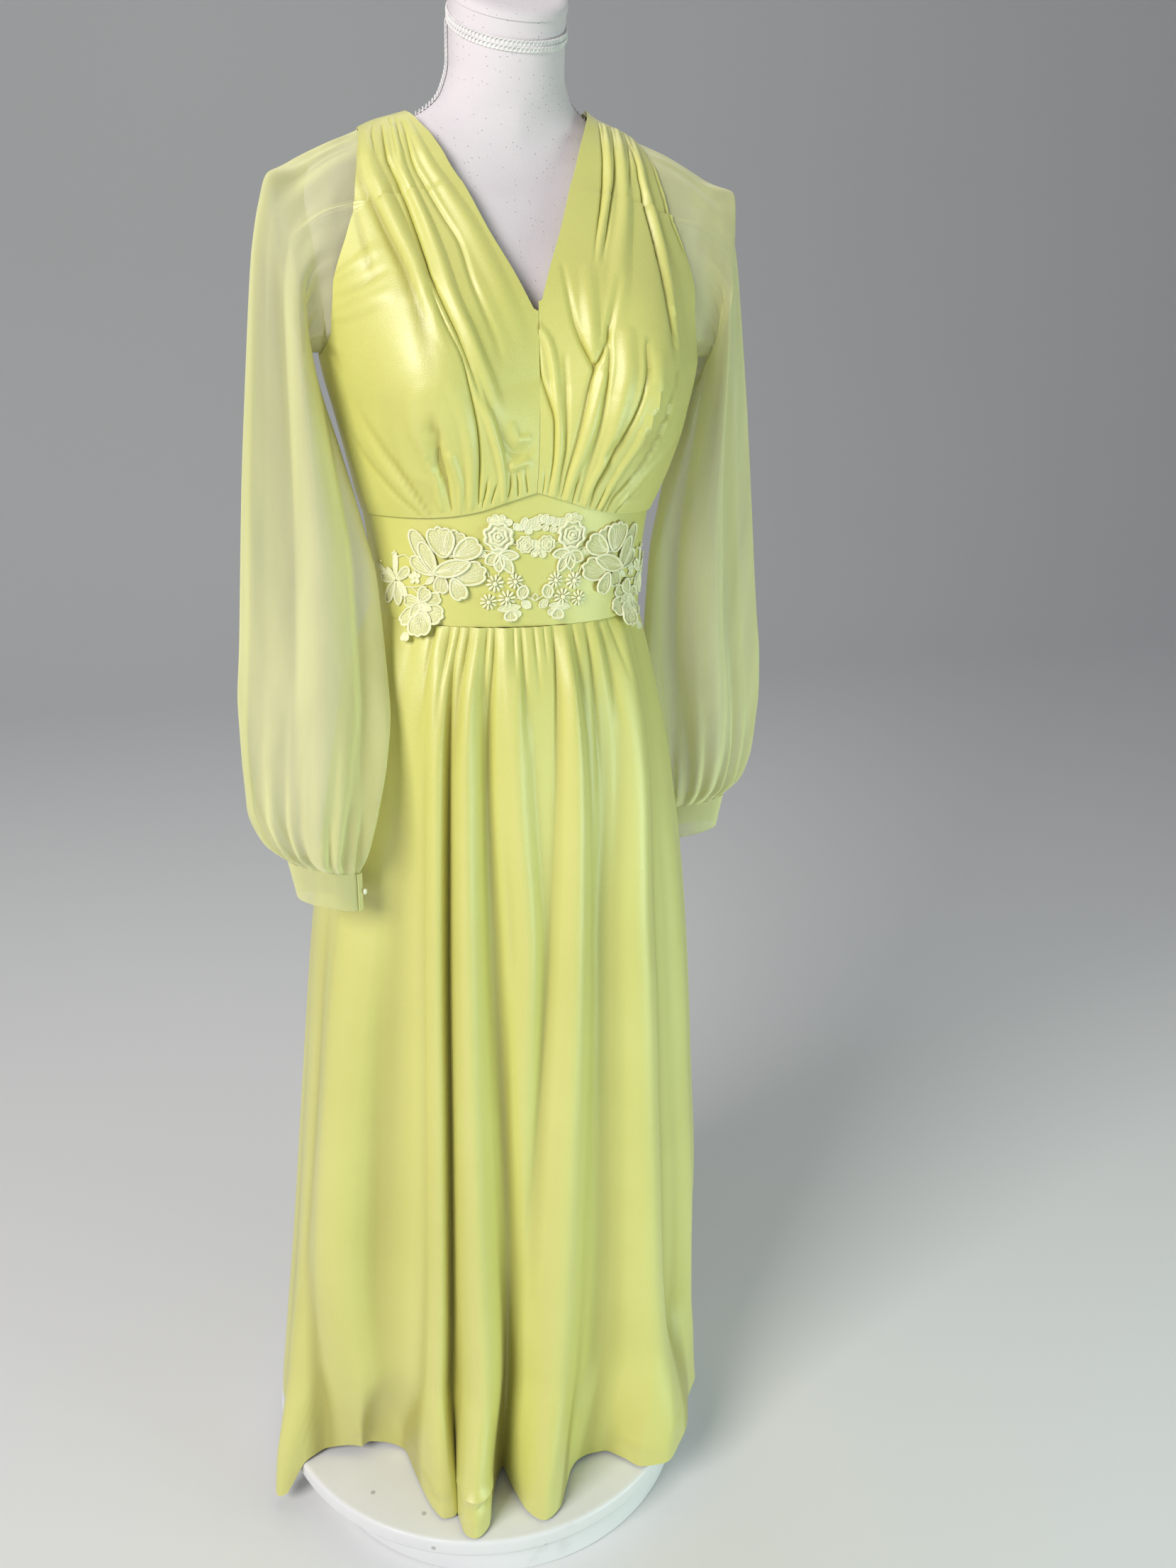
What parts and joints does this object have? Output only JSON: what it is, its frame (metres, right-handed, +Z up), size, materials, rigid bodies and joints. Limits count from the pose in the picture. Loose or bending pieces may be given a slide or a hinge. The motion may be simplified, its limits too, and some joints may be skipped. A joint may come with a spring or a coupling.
{
  "type": "maxi dress on a dress form and round stand",
  "caption": "Full-length V-neck maxi dress with sheer bishop sleeves, gathered skirt and lace on its waist band, worn by a limbless dress form on a round stand.",
  "frame": {"origin": "centre of the lower disc's underside, on the floor", "axes": "+Z up, front of the dress towards -Y, wearer's left towards +X"},
  "size_m": [0.5554, 0.486, 1.5288],
  "materials": {
    "satin": "lemon-lime satin-faced knit, soft sheen",
    "chiffon": "sheer plain-weave chiffon, matte",
    "lace": "corded guipure lace, matte",
    "pearl": "small pearl button",
    "jersey": "white jersey cover with fine flecks",
    "gimp": "white gimp braid",
    "stand_paint": "white satin paint with small chips"
  },
  "bodies": {
    "root": {"bodice_front_right": "satin", "bodice_front_left": "satin", "bodice_back_right": "satin", "bodice_back_left": "satin", "midriff_front": "satin", "midriff_back_right": "satin", "midriff_back_left": "satin", "skirt_front": "satin", "skirt_back_right": "satin", "skirt_back_left": "satin", "sleeve_right": "chiffon", "sleeve_left": "chiffon", "cuff_right": "chiffon", "cuff_left": "chiffon", "lace_right": "lace", "lace_left": "lace", "lace_garland": "lace", "cuff_button_right": "pearl", "cuff_button_left": "pearl", "form_torso": "jersey", "form_neck_cap": "jersey", "neck_braid": "gimp", "side_braid_right": "gimp", "side_braid_left": "gimp", "stand_pole": "stand_paint", "stand_upper_disc": "stand_paint", "stand_lower_disc": "stand_paint"}
  },
  "joints": []
}
